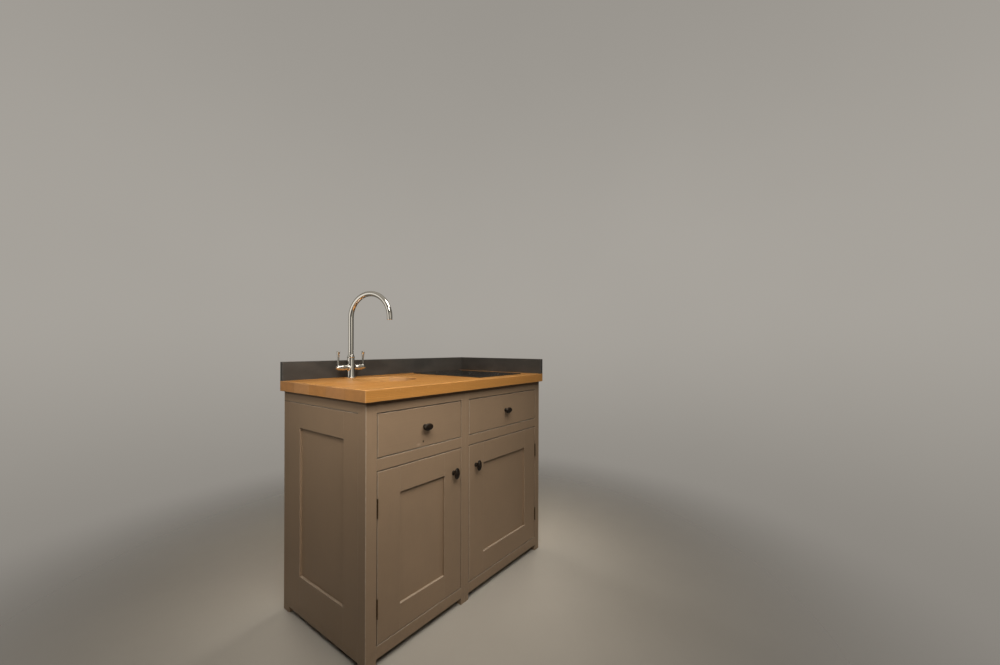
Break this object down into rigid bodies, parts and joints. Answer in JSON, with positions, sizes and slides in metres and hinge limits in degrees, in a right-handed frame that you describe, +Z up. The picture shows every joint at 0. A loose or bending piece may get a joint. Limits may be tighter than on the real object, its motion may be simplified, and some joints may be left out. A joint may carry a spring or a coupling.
{
  "type": "fitted kitchen base unit",
  "caption": "Painted in-frame kitchen base unit with an oak worktop, slate upstands, cupboards, a drawer, a swan-neck tap over a round bowl and a small glass hob.",
  "frame": {"origin": "on the floor, under the middle of the whole unit (middle of its overall width and depth)", "axes": "+X to the right along the front, +Y back to the wall, +Z up"},
  "size_m": [1.054, 0.576, 1.285],
  "materials": {
    "paint": "brushed satin mushroom paint on timber",
    "oak_worktop": "oiled solid oak staves",
    "slate": "honed dark slate",
    "knob_iron": "waxed black iron",
    "hinge_iron": "dark bronzed steel",
    "sink_steel": "brushed stainless steel",
    "hob_glass": "polished black ceramic glass",
    "hob_tray": "grey coated sheet steel",
    "tap_chrome": "polished chrome",
    "peg_steel": "plated steel",
    "drawer_wood": "lacquered pale hardwood",
    "cabinet_inside": "lacquered birch board"
  },
  "bodies": {
    "cabinet": {"worktop": "oak_worktop", "upstand_back": "slate", "upstand_right": "slate", "corner_post": "paint", "back_post": "paint", "centre_stile_left": "paint", "centre_stile_right": "paint", "right_stile": "paint", "left_rails": "paint", "right_rails": "paint", "end_stiles": "paint", "end_rails": "paint", "end_top_rail": "paint", "end_panel": "paint", "left_cabinet_side": "cabinet_inside", "left_cabinet_base": "cabinet_inside", "left_cabinet_back": "cabinet_inside", "right_cabinet_left_side": "cabinet_inside", "right_cabinet_right_side": "cabinet_inside", "right_cabinet_base": "cabinet_inside", "right_cabinet_back": "cabinet_inside", "shelf": "cabinet_inside", "shelf_pegs": "peg_steel", "back_stretchers": "cabinet_inside", "left_drawer_front": "paint", "left_drawer_knob": "knob_iron", "left_drawer_battens": "cabinet_inside", "drawer_runners": "drawer_wood", "sink_bowl": "sink_steel", "sink_waste": "sink_steel", "hob_glass": "hob_glass", "hob_tray": "hob_tray", "tap_body": "tap_chrome", "left_frame_hinges": "hinge_iron", "right_frame_hinges": "hinge_iron"},
    "left_door": {"left_door_stiles": "paint", "left_door_rails": "paint", "left_door_panel": "paint", "left_door_knob": "knob_iron", "left_door_hinges": "hinge_iron"},
    "right_door": {"right_door_stiles": "paint", "right_door_rails": "paint", "right_door_panel": "paint", "right_door_knob": "knob_iron", "right_door_hinges": "hinge_iron"},
    "drawer": {"drawer_front": "paint", "drawer_sides": "drawer_wood", "drawer_back": "drawer_wood", "drawer_bottom": "drawer_wood", "drawer_knob": "knob_iron"},
    "spout": {"tap_spout": "tap_chrome"},
    "lever_left": {"tap_lever_left": "tap_chrome"},
    "lever_right": {"tap_lever_right": "tap_chrome"}
  },
  "joints": [
    {"name": "left_door_hinge", "type": "hinge", "parent": "cabinet", "child": "left_door", "pos_m": [-0.4665, -0.262, 0.3545], "axis": [0, 0, -1], "range_deg": [0, 165]},
    {"name": "right_door_hinge", "type": "hinge", "parent": "cabinet", "child": "right_door", "pos_m": [0.4885, -0.262, 0.3545], "axis": [0, 0, 1], "range_deg": [0, 110]},
    {"name": "drawer_slide", "type": "slide", "parent": "cabinet", "child": "drawer", "axis": [0, -1, 0], "range_m": [0, 0.38]},
    {"name": "spout_swivel", "type": "hinge", "parent": "cabinet", "child": "spout", "pos_m": [-0.258, 0.222, 1.004], "axis": [0, 0, 1], "range_deg": [-106, 74]},
    {"name": "left_lever_turn", "type": "hinge", "parent": "cabinet", "child": "lever_left", "pos_m": [-0.318, 0.222, 0.955], "axis": [1, 0, 0], "range_deg": [0, 90]},
    {"name": "right_lever_turn", "type": "hinge", "parent": "cabinet", "child": "lever_right", "pos_m": [-0.198, 0.222, 0.955], "axis": [1, 0, 0], "range_deg": [0, 90]}
  ]
}
